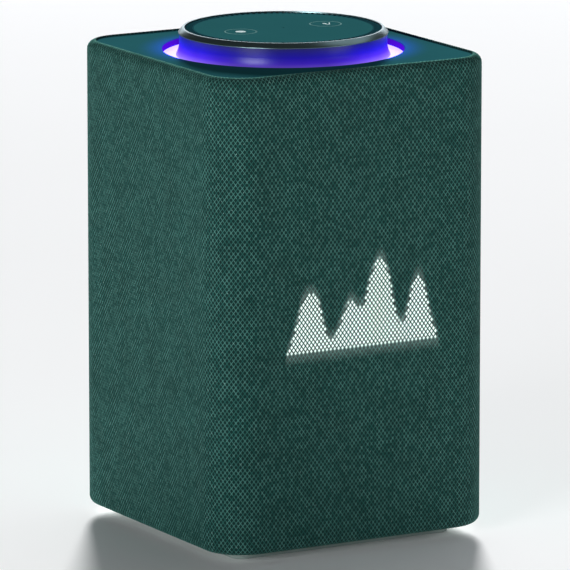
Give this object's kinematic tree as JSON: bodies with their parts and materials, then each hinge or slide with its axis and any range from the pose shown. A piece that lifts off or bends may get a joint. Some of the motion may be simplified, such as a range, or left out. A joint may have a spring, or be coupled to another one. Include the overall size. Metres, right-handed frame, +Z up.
{
  "type": "smart speaker",
  "caption": "Square tower smart speaker in knitted fabric, with a turning volume ring in a lit well on top and a light display behind the front.",
  "frame": {"origin": "on the table under the middle of the body", "axes": "+Z up, -Y the front with the light display, +Y the back with the sockets"},
  "size_m": [0.141, 0.141, 0.2283],
  "materials": {
    "knit_fabric": "knitted, matt",
    "black_plastic": "moulded",
    "foot_rubber": "moulded, grippy",
    "base_plastic": "moulded",
    "teal_plastic": "fine satin",
    "diffuser_plastic": "milky",
    "circuit_board": "solder mask",
    "led_package": "lit",
    "bearing_plastic": "polished acetal",
    "screw_steel": "zinc plated",
    "rim_metal": "turned and anodised",
    "skirt_plastic": "smooth",
    "icon_ink": "inlaid",
    "seal_rubber": "soft",
    "motor_steel": "plated",
    "ferrite": "ground",
    "coil_copper": "enamelled wire",
    "cone_paper": "pressed pulp",
    "spider_cloth": "treated cloth",
    "sink_aluminium": "extruded",
    "socket_plastic": "moulded",
    "socket_metal": "stamped"
  },
  "bodies": {
    "housing": {"fabric_sleeve": "knit_fabric", "grille_shell": "black_plastic", "foot_pad": "foot_rubber", "base_plate": "base_plastic", "top_panel": "teal_plastic", "light_diffuser": "diffuser_plastic", "led_board": "circuit_board", "ring_leds": "led_package", "top_deck": "black_plastic", "deck_screws": "screw_steel", "turret": "black_plastic", "bearing_ring": "bearing_plastic", "retainer_ring": "bearing_plastic", "encoder_sensors": "black_plastic", "slot_ring": "teal_plastic", "control_panel": "teal_plastic", "button_board": "circuit_board", "tact_switches": "black_plastic", "microphones": "socket_metal", "enclosure_body": "black_plastic", "enclosure_gasket": "seal_rubber", "enclosure_back": "black_plastic", "case_screws": "screw_steel", "bass_port": "black_plastic", "woofer_basket": "black_plastic", "woofer_top_plate": "motor_steel", "woofer_magnet": "ferrite", "woofer_yoke": "motor_steel", "woofer_surround": "seal_rubber", "woofer_spider": "spider_cloth", "woofer_screws": "screw_steel", "mid_frames": "black_plastic", "mid_motors": "motor_steel", "mid_surround_left": "seal_rubber", "mid_surround_right": "seal_rubber", "tweeter_frames": "black_plastic", "tweeter_motors": "motor_steel", "matrix_board": "circuit_board", "matrix_guide": "diffuser_plastic", "main_board": "circuit_board", "heat_sink": "sink_aluminium", "socket_bay": "black_plastic", "power_socket": "socket_plastic", "video_socket": "socket_metal", "network_socket": "socket_metal", "audio_socket": "socket_plastic"},
    "volume_ring": {"volume_rim": "rim_metal", "ring_skirt": "skirt_plastic", "encoder_ring": "black_plastic"},
    "action_key": {"action_button": "teal_plastic", "action_icon": "icon_ink"},
    "mute_key": {"mute_button": "teal_plastic", "mute_icon": "icon_ink"},
    "woofer_diaphragm": {"woofer_cone": "cone_paper", "woofer_dust_cap": "cone_paper", "woofer_voice_coil": "coil_copper"},
    "mid_diaphragm_left": {"mid_cone_left": "cone_paper"},
    "mid_diaphragm_right": {"mid_cone_right": "cone_paper"},
    "tweeter_diaphragm_left": {"tweeter_dome_left": "spider_cloth"},
    "tweeter_diaphragm_right": {"tweeter_dome_right": "spider_cloth"}
  },
  "joints": [
    {"name": "volume_turn", "type": "hinge", "parent": "housing", "child": "volume_ring", "pos_m": [0, 0, 0.2188], "axis": [0, 0, -1], "continuous": true},
    {"name": "action_press", "type": "slide", "parent": "housing", "child": "action_key", "axis": [0, 0, -1], "range_m": [0, 0.0004], "stiffness_N_per_m": 1500},
    {"name": "mute_press", "type": "slide", "parent": "housing", "child": "mute_key", "axis": [0, 0, -1], "range_m": [0, 0.0004], "stiffness_N_per_m": 1500},
    {"name": "woofer_stroke", "type": "slide", "parent": "housing", "child": "woofer_diaphragm", "axis": [0, -1, 0], "range_m": [-0.003, 0.003], "stiffness_N_per_m": 1500, "deforming": ["woofer_surround", "woofer_spider"]},
    {"name": "mid_stroke_left", "type": "slide", "parent": "housing", "child": "mid_diaphragm_left", "axis": [0, -1, 0], "range_m": [-0.001, 0.001], "stiffness_N_per_m": 1500, "deforming": ["mid_surround_left"]},
    {"name": "mid_stroke_right", "type": "slide", "parent": "housing", "child": "mid_diaphragm_right", "axis": [0, -1, 0], "range_m": [-0.001, 0.001], "stiffness_N_per_m": 1500, "deforming": ["mid_surround_right"]},
    {"name": "tweeter_stroke_left", "type": "slide", "parent": "housing", "child": "tweeter_diaphragm_left", "axis": [0, -1, 0], "range_m": [-0.0003, 0.0003], "stiffness_N_per_m": 1500},
    {"name": "tweeter_stroke_right", "type": "slide", "parent": "housing", "child": "tweeter_diaphragm_right", "axis": [0, -1, 0], "range_m": [-0.0003, 0.0003], "stiffness_N_per_m": 1500}
  ]
}
